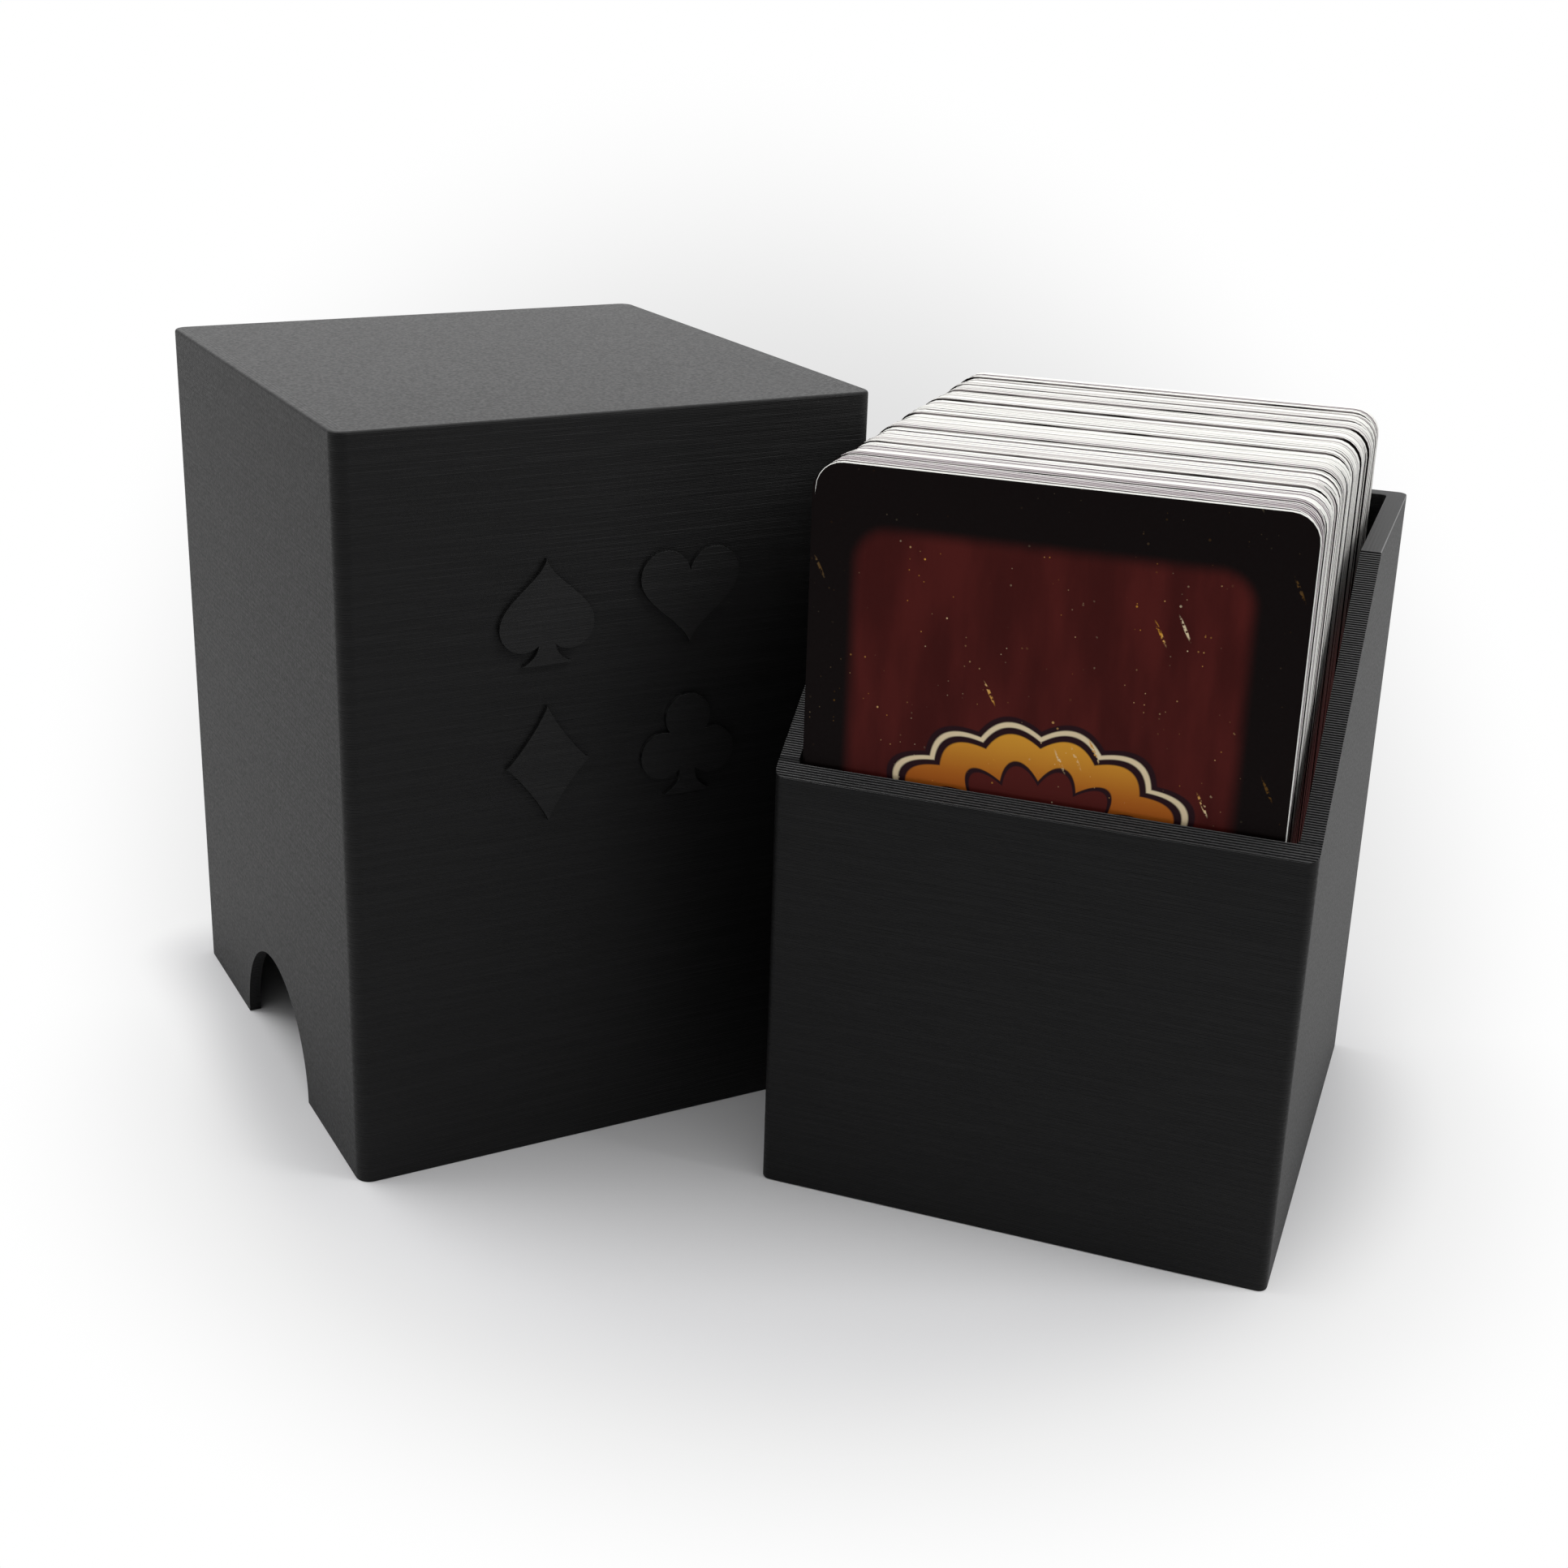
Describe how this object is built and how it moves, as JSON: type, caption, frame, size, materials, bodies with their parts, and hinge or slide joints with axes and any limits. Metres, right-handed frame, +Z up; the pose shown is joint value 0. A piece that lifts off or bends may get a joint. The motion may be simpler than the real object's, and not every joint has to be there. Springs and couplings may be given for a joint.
{
  "type": "card storage box",
  "caption": "Printed card box: an open tray with a high back and a sloped mouth holds a standing deck of cards, and its lift-off cover with thumb notches stands beside it.",
  "frame": {"origin": "middle of the tray's underside", "axes": "+Z up, the tray's low front wall faces -Y, +X to the right, the cover stands on the -X side"},
  "size_m": [0.1624, 0.0989, 0.0949],
  "materials": {
    "black_print": "matte black printed plastic with fine layer lines",
    "printed_card": "dark red and black printed card back, satin",
    "card_stock": "cream cut edges of white card stock"
  },
  "bodies": {
    "tray": {"tray": "black_print"},
    "cover": {"cover": "black_print"},
    "front_card": {"front_card": "printed_card"},
    "deck": {"card_packet_01": "card_stock", "card_packet_02": "card_stock", "card_packet_03": "card_stock", "card_packet_04": "card_stock", "card_packet_05": "card_stock", "card_packet_06": "card_stock", "card_packet_07": "card_stock", "card_packet_08": "card_stock", "card_packet_09": "card_stock", "card_packet_10": "card_stock", "card_packet_11": "card_stock", "card_packet_12": "card_stock", "card_packet_13": "card_stock", "card_packet_14": "card_stock", "card_packet_15": "card_stock", "card_packet_16": "card_stock", "card_packet_17": "card_stock", "card_packet_18": "card_stock", "card_packet_19": "card_stock", "card_packet_20": "card_stock", "card_packet_21": "card_stock", "card_packet_22": "card_stock", "card_packet_23": "card_stock", "card_packet_24": "card_stock"}
  },
  "joints": [
    {"name": "cover_lift", "type": "slide", "parent": "tray", "child": "cover", "axis": [0, 0, 1], "range_m": [0, 0.095]},
    {"name": "front_card_lift", "type": "slide", "parent": "tray", "child": "front_card", "axis": [0, 0, 1], "range_m": [0, 0.08]},
    {"name": "deck_lift", "type": "slide", "parent": "tray", "child": "deck", "axis": [0, 0, 1], "range_m": [0, 0.08]}
  ]
}
